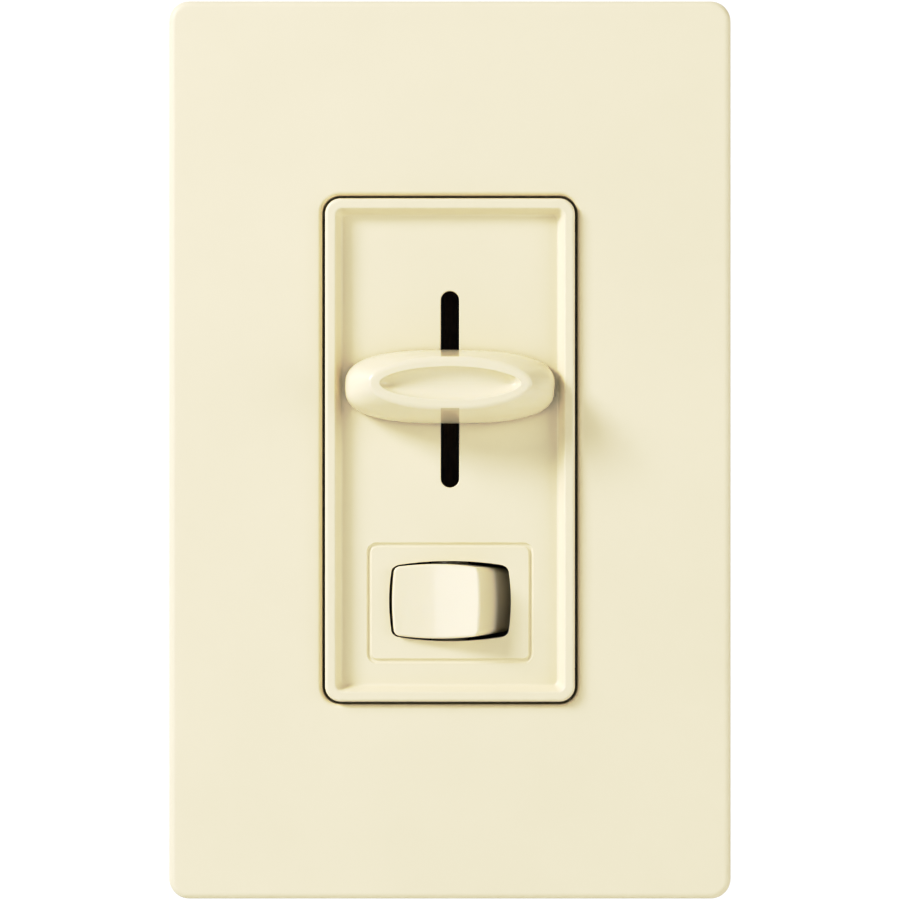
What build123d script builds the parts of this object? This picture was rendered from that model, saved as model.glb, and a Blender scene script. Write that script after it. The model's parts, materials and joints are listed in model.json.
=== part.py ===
from build123d import *
import math
import os

# Slide dimmer with on/off rocker, for a single-gang wall box, with its screwless wallplate.
# Millimetres. X is to the right, Z is up, the room is towards -Y and the wall surface is Y = 0.
# The origin is midway between the two box screws, on the wall surface.
# "Out" means the distance from the wall surface into the room, so out = -Y; inside the box it is negative.

# ---------------------------------------------------------------- driving dimensions

# wallplate, a clip-on cover
plate_width = 74.6
plate_height = 119.2
plate_depth = 7.6
plate_front = 2.0  # thickness of its front wall
plate_wall = 1.8
plate_corner = 2.7
plate_edge = 0.9
opening_width = 33.9
opening_height = 67.5
opening_corner = 2.4

# carrier that the wallplate clips on
adapter_width = 69.6
adapter_height = 114.2
adapter_back = 1.6
adapter_front = 3.2

# mounting strap and the standard screw spacings of a single-gang box and plate
yoke_thickness = 1.5
box_screw_spacing = 83.34
plate_screw_spacing = 96.84
screw_radius = 1.75  # 6-32 thread

# bezel around the controls
bezel_width = 33.1
bezel_height = 66.7
bezel_corner = 2.05
bezel_front = 8.6
floor_out = 6.9  # front face of the sunk panel
panel_back = 5.2
recess_width = 30.4
recess_height = 64.06
recess_slope = 0.8
bezel_back = 1.55
bezel_wall = 1.6
carrier_gap = 0.25  # between the bezel and the carrier round it

# slider
slot_width = 2.44
slot_length = 26.1
slot_z = 8.06
knob_width = 27.8
knob_height = 9.75
knob_back = 7.4
knob_front = 14.4
knob_z = 8.4  # height of the knob as drawn, a little above the slot's middle
ring_width = 21.2
ring_height = 6.86
ring_lift = 0.385  # the knob's front face sits this much above its outline's middle
dish_width = 18.5
dish_height = 4.4
dish_depth = 1.3
stem_width = 1.9
stem_length = 5.0

# rocker
rocker_z = -20.06
pivot_out = 0.2
rocker_throw = 12.0  # degrees either side of level
end_wall_lean = 16.0  # degrees, outwards towards the wall
ridge_x = 5.9  # the two ridges of its face, on a level rocker
ridge_out = 9.0  # from the pivot
rocker_half_height = 4.94
rocker_base = 0.3  # foot of its end walls, from the pivot
rocker_crown = 40.0  # bulge of its top and bottom edges
opening_radius = 10.5  # the opening is undercut on this radius about the pivot
opening_half_height = 5.33
opening_crown = 43.5
rocker_corner = 0.9
barrel_radius = 34.0  # bulge of the end walls, seen from the room
scoop_radius = 27.0
trunnion_radius = 1.5

# switch contacts
seesaw_y = 10.25  # line the contact arm rocks on
seesaw_throw = 6.0
contact_x = 5.6
contact_front = 11.2
strip_front = 11.75
strip_back = 12.55

# rear housing
housing_width = 40.0
housing_height = 69.0
housing_depth = 30.0
housing_wall = 1.8
housing_floor = 2.0
post_x = 15.6
post_z = 30.1
bay_depth = 4.2
terminal_y = 14.2
common_z = 14.0
traveller_z = -6.0
board_front = 9.0
board_back = 10.6

box_screw_places = [(0, box_screw_spacing / 2), (0, -box_screw_spacing / 2)]
plate_screw_places = [(0, plate_screw_spacing / 2), (0, -plate_screw_spacing / 2)]
post_places = [(x, z) for x in (-post_x, post_x) for z in (-post_z, post_z)]
finger_x = 24.0
finger_z = 52.0
leg_x = 8.0
leg_z = 29.6
pivot = Axis((0, -pivot_out, rocker_z), (0, 0, 1))
seesaw_axis = Axis((0, seesaw_y, rocker_z), (0, 0, 1))

os.makedirs("parts", exist_ok=True)


def front(out=0):
    """Plane parallel to the wall, out mm into the room: its x is X, its y is Z, and it faces the room."""
    return Plane.XZ.offset(out)


def level(z):
    """Horizontal plane at height z: its x is X and its y is Y."""
    return Plane.XY.offset(z)


def block(x, y, z, mode=Mode.ADD):
    """Box between two limits in each of X, Y and Z, added to or cut from the part being built."""
    with Locations(((x[0] + x[1]) / 2, (y[0] + y[1]) / 2, (z[0] + z[1]) / 2)):
        Box(x[1] - x[0], y[1] - y[0], z[1] - z[0], mode=mode)


def oval_points(width, height, power, lift=0, count=28):
    """Points round a superellipse, from an ellipse (power 2) towards a rectangle with blunt ends."""
    points = []
    for step in range(count):
        angle = 2 * math.pi * step / count
        cos, sin = math.cos(angle), math.sin(angle)
        x = math.copysign(abs(cos) ** (2 / power), cos) * width / 2
        z = math.copysign(abs(sin) ** (2 / power), sin) * height / 2
        points.append((x, z + lift))
    return points


# ---------------------------------------------------------------- wallplate

hollow_out = plate_depth - plate_front
collar_back = 3.6
finger_back = 0.7

with BuildPart() as wallplate:
    with BuildSketch(front()):
        RectangleRounded(plate_width, plate_height, plate_corner)
    extrude(amount=plate_depth)
    fillet(wallplate.faces().sort_by(Axis.Y)[0].edges(), plate_edge)
    with BuildSketch(front()):
        RectangleRounded(plate_width - 2 * plate_wall, plate_height - 2 * plate_wall, 1.4)
    extrude(amount=hollow_out, mode=Mode.SUBTRACT)
    # collar behind the opening's edge
    with BuildSketch(front(collar_back)):
        RectangleRounded(opening_width + 2.6, opening_height + 2.6, opening_corner + 1.3)
    extrude(amount=hollow_out - collar_back + 0.2)
    with BuildSketch(front()):
        RectangleRounded(opening_width, opening_height, opening_corner)
    extrude(amount=plate_depth, mode=Mode.SUBTRACT)
    opening_edge = wallplate.faces().sort_by(Axis.Y)[0].inner_wires()[0].edges()
    fillet(opening_edge, 0.6)
    # stiffening ribs across the inside of the front wall
    for rib_z in (-43, 43):
        block((-33, 33), (-hollow_out - 0.2, -hollow_out + 0.7), (rib_z - 0.5, rib_z + 0.5))
    # snap fingers with barbs that catch behind the carrier
    for side in (-1, 1):
        for x in (-finger_x, finger_x):
            z = side * finger_z
            barb = sorted((z, z + side * 1.3))
            block((x - 3, x + 3), (-hollow_out - 0.2, -finger_back), (z - 0.6, z + 0.6))
            block((x - 3, x + 3), (-1.45, -finger_back), barb)
    # notch in the lower edge for prying the cover off
    lower_edge = -plate_height / 2
    block((-4, 4), (-1.2, 0.1), (lower_edge - 0.1, lower_edge + plate_wall + 0.1), Mode.SUBTRACT)
wallplate.part.label = "wallplate"
export_step(wallplate.part, "parts/wallplate.step")

with BuildPart() as wallplate_adapter:
    with BuildSketch(front(adapter_back)):
        RectangleRounded(adapter_width, adapter_height, 2.0)
        carrier_opening = (bezel_width + 2 * carrier_gap, bezel_height + 2 * carrier_gap)
        RectangleRounded(*carrier_opening, bezel_corner + carrier_gap, mode=Mode.SUBTRACT)
        with Locations(*box_screw_places):
            Circle(3.3, mode=Mode.SUBTRACT)
        with Locations(*plate_screw_places):
            Circle(1.95, mode=Mode.SUBTRACT)
        for side in (-1, 1):
            # clearance for the strap's screw heads, open towards the middle
            with Locations((0, side * 38)):
                Rectangle(6.6, 8, mode=Mode.SUBTRACT)
            with Locations((-finger_x, side * 51.925), (finger_x, side * 51.925)):
                Rectangle(6.8, 1.85, mode=Mode.SUBTRACT)
    extrude(amount=adapter_front - adapter_back)
    # rim that stands on the wall, and a rib beside the opening
    with BuildSketch(front(0.3)):
        RectangleRounded(adapter_width, adapter_height, 2.0)
        RectangleRounded(adapter_width - 3.2, adapter_height - 3.2, 1.0, mode=Mode.SUBTRACT)
    extrude(amount=adapter_back - 0.3 + 0.1)
    for side in (-1, 1):
        block((side * 27 - 0.6, side * 27 + 0.6), (-adapter_back - 0.1, -0.3), (-46, 46))
    # countersinks for the two flat-head screws
    with BuildSketch(front(adapter_front)):
        with Locations(*plate_screw_places):
            Circle(2.95)
    extrude(amount=-1.15, taper=41, mode=Mode.SUBTRACT)
wallplate_adapter.part.label = "wallplate_adapter"
export_step(wallplate_adapter.part, "parts/wallplate_adapter.step")

with BuildPart() as adapter_screws:
    with BuildSketch(front(adapter_front - 0.1)):
        with Locations(*plate_screw_places):
            Circle(2.8)
    extrude(amount=-1.2, taper=41)
    with BuildSketch(front(adapter_front - 1.0)):
        with Locations(*plate_screw_places):
            Circle(screw_radius)
    extrude(amount=-9.0)
    chamfer(adapter_screws.faces().group_by(Axis.Y)[-1].edges(), 0.5)
    with BuildSketch(front(adapter_front)):
        with Locations(*plate_screw_places):
            Rectangle(6, 0.8)
    extrude(amount=-0.8, mode=Mode.SUBTRACT)
adapter_screws.part.label = "adapter_screws"
export_step(adapter_screws.part, "parts/adapter_screws.step")

# ---------------------------------------------------------------- strap and box screws

tab_x = -15.5
tab_z = -40.5
tab_rivet_x = -9.6
ground_y = 6.4
triac_rivet = (10.3, 23.4)

with BuildPart() as yoke:
    with BuildSketch(front()):
        RectangleRounded(44, 72, 2.0)
        RectangleRounded(32, 104.8, 3.0)
        with Locations((0, slot_z)):
            Rectangle(6, 30, mode=Mode.SUBTRACT)
        with Locations((0, rocker_z)):
            Rectangle(20.6, 17.4, mode=Mode.SUBTRACT)
        with Locations(*box_screw_places):
            SlotOverall(7.5, 4.0, mode=Mode.SUBTRACT)
        with Locations(*plate_screw_places):
            Circle(screw_radius + 0.06, mode=Mode.SUBTRACT)
        with Locations(*post_places):
            Circle(1.46, mode=Mode.SUBTRACT)
        for side in (-1, 1):
            with Locations((-leg_x, side * leg_z), (leg_x, side * leg_z)):
                Rectangle(4.6, 2.0, mode=Mode.SUBTRACT)
        with Locations(triac_rivet, (tab_rivet_x, tab_z)):
            Circle(1.25, mode=Mode.SUBTRACT)
    extrude(amount=yoke_thickness)
    # score lines where the side fins snap off
    for side in (-1, 1):
        score_x = side * 19.6
        score_y = (-yoke_thickness - 0.1, -yoke_thickness + 0.4)
        block((score_x - 0.25, score_x + 0.25), score_y, (-37, 37), Mode.SUBTRACT)
yoke.part.label = "yoke"
export_step(yoke.part, "parts/yoke.step")

with BuildPart() as mounting_screws:
    with BuildSketch(front(yoke_thickness + 0.05)):
        with Locations(*box_screw_places):
            Circle(3.0)
    extrude(amount=1.9)
    fillet(mounting_screws.faces().group_by(Axis.Y)[0].edges(), 0.6)
    # undercut neck that the retainer keeps in the strap, then the thread
    with BuildSketch(front(yoke_thickness + 0.1)):
        with Locations(*box_screw_places):
            Circle(1.45)
    extrude(amount=-yoke_thickness - 1.0)
    with BuildSketch(front(-0.45)):
        with Locations(*box_screw_places):
            Circle(screw_radius)
    extrude(amount=-18.5)
    chamfer(mounting_screws.faces().group_by(Axis.Y)[-1].edges(), 0.6)
    with BuildSketch(front(yoke_thickness + 1.95)):
        with Locations(*box_screw_places):
            Rectangle(6.4, 0.9)
            Rectangle(0.9, 3.6)
    extrude(amount=-0.9, mode=Mode.SUBTRACT)
mounting_screws.part.label = "mounting_screws"
export_step(mounting_screws.part, "parts/mounting_screws.step")

with BuildPart() as screw_retainers:
    with BuildSketch(front(-0.05)):
        with Locations(*box_screw_places):
            RectangleRounded(7.0, 7.0, 1.0)
            Circle(1.6, mode=Mode.SUBTRACT)
    extrude(amount=-0.35)
screw_retainers.part.label = "screw_retainers"
export_step(screw_retainers.part, "parts/screw_retainers.step")

with BuildPart() as ground_tab:
    block((tab_x, -7.0), (0.05, 1.05), (tab_z - 3.5, tab_z + 3.5))
    block((tab_x, tab_x + 1.0), (0.05, 10.4), (tab_z - 3.5, tab_z + 3.5))
    inside_bend = ground_tab.edges().filter_by(Axis.Z).filter_by_position(Axis.X, -14.6, -14.4)
    fillet(inside_bend.sort_by(Axis.Y)[0], 0.6)
    outside_bend = ground_tab.edges().filter_by(Axis.Z).filter_by_position(Axis.X, -15.6, -15.4)
    fillet(outside_bend.sort_by(Axis.Y)[0], 0.9)
    with Locations(Plane.YZ.offset(tab_x) * Pos(ground_y, tab_z)):
        Hole(1.81)
    with Locations(front() * Pos(tab_rivet_x, tab_z)):
        Hole(1.25)
ground_tab.part.label = "ground_tab"
export_step(ground_tab.part, "parts/ground_tab.step")

with BuildPart() as ground_rivet:
    with BuildSketch(front(-1.1)):
        with Locations((tab_rivet_x, tab_z)):
            Circle(2.1)
    extrude(amount=-0.7)
    with BuildSketch(front(-1.2)):
        with Locations((tab_rivet_x, tab_z)):
            Circle(1.2)
    extrude(amount=1.2 + yoke_thickness)
    fillet(ground_rivet.faces().sort_by(Axis.Y)[-1].edges(), 0.35)
ground_rivet.part.label = "ground_rivet"
export_step(ground_rivet.part, "parts/ground_rivet.step")

with BuildPart() as ground_screw:
    with BuildSketch(Plane.YZ.offset(tab_x - 0.7)):
        with Locations((ground_y, tab_z)):
            Circle(3.4)
    extrude(amount=-2.0)
    fillet(ground_screw.faces().sort_by(Axis.X)[0].edges(), 0.5)
    with BuildSketch(Plane.YZ.offset(tab_x - 0.8)):
        with Locations((ground_y, tab_z)):
            Circle(screw_radius)
    extrude(amount=6.4)
    with BuildSketch(Plane.YZ.offset(tab_x - 2.7)):
        with Locations((ground_y, tab_z)):
            Rectangle(7.2, 0.9)
    extrude(amount=0.9, mode=Mode.SUBTRACT)
ground_screw.part.label = "ground_screw"
export_step(ground_screw.part, "parts/ground_screw.step")

# ---------------------------------------------------------------- bezel with the control panel


def crowned(body, half_height, crown, back):
    """Trim a solid to an outline with bulging top and bottom edges, as seen from the room."""
    span = 12  # the outline is drawn this far either side, past the solid's ends
    drop = span ** 2 / (2 * crown)
    top = rocker_z + half_height
    bottom = rocker_z - half_height
    with BuildPart() as shape:
        add(body)
        with BuildSketch(front(back)):
            with BuildLine():
                ThreePointArc((-span, top - drop), (0, top), (span, top - drop))
                Line((span, top - drop), (span, bottom + drop))
                ThreePointArc((span, bottom + drop), (0, bottom), (-span, bottom + drop))
                Line((-span, bottom + drop), (-span, top - drop))
            make_face()
        extrude(amount=14, mode=Mode.INTERSECT)
    return shape.part


def opening_barrel():
    """Barrel about the rocker's pivot, for the opening that it turns in."""
    reach = opening_half_height + 1
    drop = reach ** 2 / (2 * barrel_radius)
    with BuildPart() as shape:
        with BuildSketch(front(pivot_out)):
            with BuildLine():
                top = (opening_radius - drop, rocker_z + reach)
                bottom = (opening_radius - drop, rocker_z - reach)
                ThreePointArc(bottom, (opening_radius, rocker_z), top)
                Polyline(top, (0, rocker_z + reach), (0, rocker_z - reach), bottom)
            make_face()
        revolve(axis=pivot)
    return shape.part


def rocker_blank():
    """Body of a level rocker, whose bulging end walls lean outwards towards the wall."""
    reach = rocker_half_height + 2
    drop = reach ** 2 / (2 * barrel_radius)
    top = rocker_z + reach
    bottom = rocker_z - reach
    with BuildPart() as shape:
        with BuildSketch(front(pivot_out + ridge_out)):
            with BuildLine():
                ThreePointArc((ridge_x - drop, bottom), (ridge_x, rocker_z), (ridge_x - drop, top))
                Line((ridge_x - drop, top), (drop - ridge_x, top))
                ThreePointArc((drop - ridge_x, top), (-ridge_x, rocker_z), (drop - ridge_x, bottom))
                Line((drop - ridge_x, bottom), (ridge_x - drop, bottom))
            make_face()
        extrude(amount=rocker_base - ridge_out, taper=-end_wall_lean)
    return shape.part


lug_inner = 5.9  # the two bearing lugs stand this far either side of the rocker's middle
lug_outer = 7.5
groove_z = -20.3
groove_width = 21.5
groove_height = 15.4
leg_back = -1.1

with BuildPart() as rocker_opening:
    add(crowned(opening_barrel(), opening_half_height, opening_crown, panel_back - 0.5))
    corners = rocker_opening.edges().filter_by(
        lambda edge: abs(edge.center().Z - rocker_z) > opening_half_height - 2
        and edge.center().Y < -panel_back
    )
    fillet(corners, rocker_corner)
with BuildPart() as front_bezel:
    with BuildSketch(front(bezel_back)):
        RectangleRounded(bezel_width, bezel_height, bezel_corner)
    extrude(amount=bezel_front - bezel_back)
    # sunk panel with sloping sides
    with BuildSketch(front(bezel_front)):
        RectangleRounded(recess_width, recess_height, 0.95)
    with BuildSketch(front(floor_out)):
        RectangleRounded(recess_width - 2 * recess_slope, recess_height - 2 * recess_slope, 0.75)
    loft(ruled=True, mode=Mode.SUBTRACT)
    rim = front_bezel.faces().sort_by(Axis.Y)[0]
    fillet(rim.outer_wire().edges(), 0.45)
    rim = front_bezel.faces().sort_by(Axis.Y)[0]
    fillet(rim.inner_wires()[0].edges(), 0.28)
    flat_faces = front_bezel.faces().filter_by(Axis.Y)
    panel = flat_faces.filter_by_position(Axis.Y, -floor_out - 0.1, -floor_out + 0.1)[0]
    fillet(panel.outer_wire().edges(), 0.35)
    # hollow behind the panel
    with BuildSketch(front(bezel_back)):
        RectangleRounded(bezel_width - 2 * bezel_wall, bezel_height - 2 * bezel_wall, 0.8)
    extrude(amount=panel_back - bezel_back, mode=Mode.SUBTRACT)
    # slot for the slider
    with BuildSketch(front(panel_back - 0.5)):
        with Locations((0, slot_z)):
            SlotOverall(slot_length, slot_width, rotation=90)
    extrude(amount=3, mode=Mode.SUBTRACT)
    slot_edge = front_bezel.edges().filter_by(
        lambda edge: abs(edge.center().Y + floor_out) < 0.01 and abs(edge.center().X) < slot_width
    )
    slot_reach = slot_length / 2 + 0.1
    slot_edge = slot_edge.filter_by_position(Axis.Z, slot_z - slot_reach, slot_z + slot_reach)
    fillet(slot_edge, 0.15)
    # rocker's opening, undercut so that the rocker turns behind its edge
    add(rocker_opening.part, mode=Mode.SUBTRACT)
    # decorative groove round the rocker
    with BuildSketch(front(floor_out + 0.05), mode=Mode.PRIVATE) as groove_line:
        with Locations((0, groove_z)):
            RectangleRounded(groove_width, groove_height, 1.0)
    groove_path = groove_line.sketch.faces()[0].outer_wire()
    with BuildSketch(Plane(origin=groove_path @ 0, z_dir=groove_path % 0)):
        Circle(0.33)
    sweep(path=groove_path, mode=Mode.SUBTRACT)
    # two lugs behind the panel that carry the rocker's trunnions
    for side in (-1, 1):
        lug_start = rocker_z + (lug_inner if side > 0 else -lug_outer)
        with BuildSketch(level(lug_start)):
            with Locations((0, (-panel_back - 0.2 - pivot_out) / 2)):
                Rectangle(5.5, panel_back + 0.2 - pivot_out)
            with Locations((0, -pivot_out)):
                Circle(2.75)
        extrude(amount=lug_outer - lug_inner)
    with BuildSketch(level(rocker_z - lug_outer - 1)):
        with Locations((0, -pivot_out)):
            Circle(trunnion_radius + 0.05)
    extrude(amount=2 * lug_outer + 2, mode=Mode.SUBTRACT)
    # snap legs that hold the bezel on the strap
    for side in (-1, 1):
        for x in (-leg_x, leg_x):
            z = side * leg_z
            barb = sorted((z, z + side * 1.35))
            block((x - 2, x + 2), (-panel_back - 0.2, -leg_back), (z - 0.7, z + 0.7))
            block((x - 2, x + 2), (0.12, -leg_back), barb)
front_bezel.part.label = "front_bezel"
export_step(front_bezel.part, "parts/front_bezel.step")

with BuildPart() as dust_barrier:
    with BuildSketch(front(panel_back - 0.35)):
        with Locations((0, slot_z + 0.9)):
            RectangleRounded(28.0, 38.8, 1.0)
        with Locations((0, slot_z)):
            SlotOverall(slot_length + 0.6, slot_width - 0.1, rotation=90, mode=Mode.SUBTRACT)
    extrude(amount=0.3)
dust_barrier.part.label = "dust_barrier"
export_step(dust_barrier.part, "parts/dust_barrier.step")

# ---------------------------------------------------------------- slider

skirt_start = 8.4  # the knob's side is upright below this and curves in above it
skirt_power = 1.8
carriage_y = 3.2
socket_gap = 0.05


def knob_section(out, shrink=0):
    """Width, height, roundness and lift of the knob's outline at a distance out of the wall."""
    rise = max(0, (out - skirt_start) / (knob_front - skirt_start))
    curl = rise ** skirt_power
    width = knob_width + (ring_width - knob_width) * curl - 2 * shrink
    height = knob_height + (ring_height - knob_height) * curl - 2 * shrink
    return width, height, 2.8 - 0.8 * rise, ring_lift * curl


def knob_plane(out):
    """Plane parallel to the wall, centred on the knob."""
    return Plane(origin=(0, -out, knob_z), x_dir=(1, 0, 0), z_dir=(0, -1, 0))


with BuildPart() as slider_knob:
    with BuildSketch(knob_plane(knob_back)):
        with BuildLine():
            Spline(*oval_points(*knob_section(knob_back)), periodic=True)
        make_face()
    extrude(amount=skirt_start - knob_back)
    for out in (skirt_start, 10.0, 11.8, 13.3, knob_front):
        with BuildSketch(knob_plane(out)):
            with BuildLine():
                Spline(*oval_points(*knob_section(out)), periodic=True)
            make_face()
    loft()
    ring_edge = slider_knob.faces().sort_by(Axis.Y)[0].edges()
    fillet(ring_edge, 0.8)
    # finger dish, steep at its rim and nearly flat at its bottom: share of the depth, and inset there
    for share, inset in ((-0.08, -0.03), (0.38, 0.22), (0.73, 0.7), (0.94, 1.35), (1, 2.0)):
        with BuildSketch(knob_plane(knob_front - share * dish_depth)):
            with BuildLine():
                outline = oval_points(dish_width - 2 * inset, dish_height - 2 * inset, 1.9, ring_lift)
                Spline(*outline, periodic=True)
            make_face()
    loft(mode=Mode.SUBTRACT)
    dish_edge = slider_knob.faces().sort_by(Axis.Y)[0].inner_wires()[0].edges()
    fillet(dish_edge, 0.16)
    # hollow underside
    for out, shrink in ((knob_back - 0.1, 1.0), (9.6, 1.05), (11.2, 1.1), (12.3, 1.3)):
        with BuildSketch(knob_plane(out)):
            with BuildLine():
                Spline(*oval_points(*knob_section(out, shrink)), periodic=True)
            make_face()
    loft(mode=Mode.SUBTRACT)
    # post with the stem's socket
    block((-2.1, 2.1), (-12.6, -knob_back - 0.3), (knob_z - 3.6, knob_z + 3.6))
    stem_hole_x = stem_width / 2 + socket_gap
    stem_hole_z = stem_length / 2 + socket_gap
    block(
        (-stem_hole_x, stem_hole_x),
        (-11.7, -knob_back + 0.1),
        (knob_z - stem_hole_z, knob_z + stem_hole_z),
        Mode.SUBTRACT,
    )
slider_knob.part.label = "slider_knob"
export_step(slider_knob.part, "parts/slider_knob.step")

with BuildPart() as slider_stem:
    stem_z = (knob_z - stem_length / 2, knob_z + stem_length / 2)
    block((-stem_width / 2, stem_width / 2), (-11.6, 5.6), stem_z)
    fillet(slider_stem.edges().filter_by(Axis.Y), 0.3)
slider_stem.part.label = "slider_stem"
export_step(slider_stem.part, "parts/slider_stem.step")

with BuildPart() as wiper_carriage:
    block((-3.2, 3.2), (carriage_y, 6.8), (knob_z - 4.6, knob_z + 4.6))
    fillet(wiper_carriage.edges().filter_by(Axis.Y), 0.5)
    block(
        (-stem_hole_x, stem_hole_x),
        (carriage_y - 0.1, 5.7),
        (knob_z - stem_hole_z, knob_z + stem_hole_z),
        Mode.SUBTRACT,
    )
wiper_carriage.part.label = "wiper_carriage"
export_step(wiper_carriage.part, "parts/wiper_carriage.step")

# two bent springs that wipe the tracks
with BuildPart() as wiper_contacts:
    for x in (-1.8, 1.8):
        block((x - 0.8, x + 0.8), (6.85, 7.05), (knob_z - 3.5, knob_z + 3.5))
        block((x - 0.5, x + 0.5), (7.0, 7.8), (knob_z + 2.9, knob_z + 3.5))
        with Locations((x, 7.6, knob_z + 3.2)):
            Cylinder(0.35, 1.0, rotation=(0, 90, 0))
wiper_contacts.part.label = "wiper_contacts"
export_step(wiper_contacts.part, "parts/wiper_contacts.step")

# slide potentiometer the carriage runs in
case_low = slot_z - 18
case_high = slot_z + 18
with BuildPart() as pot_case:
    block((-4.6, 4.6), (1.7, 8.9), (case_low, case_high))
    block((-3.8, 3.8), (2.5, 9.0), (case_low + 0.8, case_high - 0.8), Mode.SUBTRACT)
    block((-1.3, 1.3), (1.6, 2.6), (slot_z - 13.3, slot_z + 13.3), Mode.SUBTRACT)
    # mounting ears on the strap side
    for side in (-1, 1):
        ear_z = slot_z + side * 16.6
        with Locations(front(-1.7) * Pos(0, ear_z)):
            Hole(0.8, depth=1.0)
pot_case.part.label = "pot_case"
export_step(pot_case.part, "parts/pot_case.step")

with BuildPart() as pot_base:
    block((-3.7, 3.7), (8.05, 8.85), (case_low + 0.9, case_high - 0.9))
pot_base.part.label = "pot_base"
export_step(pot_base.part, "parts/pot_base.step")

with BuildPart() as resistive_tracks:
    for x in (-1.8, 1.8):
        block((x - 0.9, x + 0.9), (7.98, 8.03), (case_low + 2, case_high - 2))
resistive_tracks.part.label = "resistive_tracks"
export_step(resistive_tracks.part, "parts/resistive_tracks.step")

# ---------------------------------------------------------------- rocker

tail_length = 5.0
plunger_radius = 1.35
plunger_reach = 9.45


def rocker_plane(out):
    """Plane across the level rocker's tail, out mm in front of the pivot."""
    return Plane(origin=(0, -pivot_out - out, rocker_z), x_dir=(1, 0, 0), z_dir=(0, -1, 0))


with BuildPart() as level_rocker:
    add(crowned(rocker_blank(), rocker_half_height, rocker_crown, pivot_out + rocker_base))
    corners = level_rocker.edges().filter_by(
        lambda edge: abs(edge.center().X) > 5
        and abs(edge.center().Z - rocker_z) > 3.5
        and edge.length > 4
    )
    fillet(corners, rocker_corner)
    # scooped face between two ridges
    scoop_rise = scoop_radius - math.sqrt(scoop_radius ** 2 - ridge_x ** 2)
    scoop_middle = pivot_out + ridge_out - scoop_rise + scoop_radius
    with BuildSketch(level(rocker_z - 8)):
        with Locations((0, -scoop_middle)):
            Circle(scoop_radius)
    extrude(amount=16, mode=Mode.SUBTRACT)
    fillet(level_rocker.faces().sort_by(Axis.Y)[0].edges(), 0.3)
    # pockets moulded into the underside, either side of the web
    for side in (-1, 1):
        pocket_x = sorted((side * 2.6, side * 5.6))
        pocket_y = (-pivot_out - 6.3, -pivot_out - rocker_base + 0.1)
        block(pocket_x, pocket_y, (rocker_z - 3.7, rocker_z + 3.7), Mode.SUBTRACT)
    # web, hub, trunnions and the tail tube that holds the plunger
    block((-1.6, 1.6), (-pivot_out - rocker_base - 0.2, -pivot_out), (rocker_z - 4.2, rocker_z + 4.2))
    for radius, half in ((2.5, 5.5), (trunnion_radius, 7.4)):
        with BuildSketch(level(rocker_z - half)):
            with Locations((0, -pivot_out)):
                Circle(radius)
        extrude(amount=2 * half)
    with BuildSketch(rocker_plane(0)):
        Circle(2.2)
    extrude(amount=-tail_length)
    with BuildSketch(rocker_plane(-tail_length)):
        Circle(plunger_radius + 0.06)
    extrude(amount=tail_length + 2.2, mode=Mode.SUBTRACT)

with BuildPart() as rocker:
    add(level_rocker.part.rotate(pivot, -rocker_throw))
rocker.part.label = "rocker"
export_step(rocker.part, "parts/rocker.step")

with BuildPart() as level_plunger:
    with BuildSketch(rocker_plane(-3.7)):
        Circle(plunger_radius)
    extrude(amount=3.7 - plunger_reach)
    fillet(level_plunger.faces().sort_by(Axis.Y)[-1].edges(), plunger_radius - 0.1)

with BuildPart() as rocker_plunger:
    add(level_plunger.part.rotate(pivot, -rocker_throw))
rocker_plunger.part.label = "rocker_plunger"
export_step(rocker_plunger.part, "parts/rocker_plunger.step")

# compression spring between the tube's bottom and the plunger
spring_length = 5.1
with BuildPart() as level_spring:
    with BuildLine() as coil:
        Helix(
            pitch=spring_length / 6,
            height=spring_length,
            radius=1.0,
            center=(0, 3.7 - pivot_out - 0.25, rocker_z),
            direction=(0, -1, 0),
        )
    with BuildSketch(Plane(origin=coil.line @ 0, z_dir=coil.line % 0)):
        Circle(0.17)
    sweep(path=coil.line, is_frenet=True)

with BuildPart() as rocker_spring:
    add(level_spring.part.rotate(pivot, -rocker_throw))
rocker_spring.part.label = "rocker_spring"
export_step(rocker_spring.part, "parts/rocker_spring.step")

# ---------------------------------------------------------------- switch contacts

# arm that tips over when the plunger crosses its valley, with a bead it rocks on
with BuildPart() as level_arm:
    with BuildSketch(level(rocker_z - 2.1)):
        with BuildLine():
            Polyline(
                (-6.8, 8.9),
                (-3.0, 8.9),
                (0, 9.5),
                (3.0, 8.9),
                (6.8, 8.9),
                (6.8, 9.7),
                (3.0, 9.7),
                (0, seesaw_y),
                (-3.0, 9.7),
                (-6.8, 9.7),
                close=True,
            )
        make_face()
        with Locations((0, seesaw_y)):
            Circle(0.5)
    extrude(amount=4.2)

with BuildPart() as contact_arm:
    add(level_arm.part.rotate(seesaw_axis, seesaw_throw))
contact_arm.part.label = "contact_arm"
export_step(contact_arm.part, "parts/contact_arm.step")

with BuildPart() as level_buttons:
    for x in (-contact_x, contact_x):
        with BuildSketch(front(-9.75)):
            with Locations((x, rocker_z)):
                Circle(1.1)
        extrude(amount=-0.65)

with BuildPart() as moving_contacts:
    add(level_buttons.part.rotate(seesaw_axis, seesaw_throw))
moving_contacts.part.label = "moving_contacts"
export_step(moving_contacts.part, "parts/moving_contacts.step")

with BuildPart() as fixed_contacts:
    for x in (-contact_x, contact_x):
        with BuildSketch(front(-contact_front)):
            with Locations((x, rocker_z)):
                Circle(1.3)
        extrude(amount=-(strip_front - 0.03 - contact_front))
fixed_contacts.part.label = "fixed_contacts"
export_step(fixed_contacts.part, "parts/fixed_contacts.step")

plate_low = 13.4  # terminal plates stand between these distances from the middle
plate_high = 14.3

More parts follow.
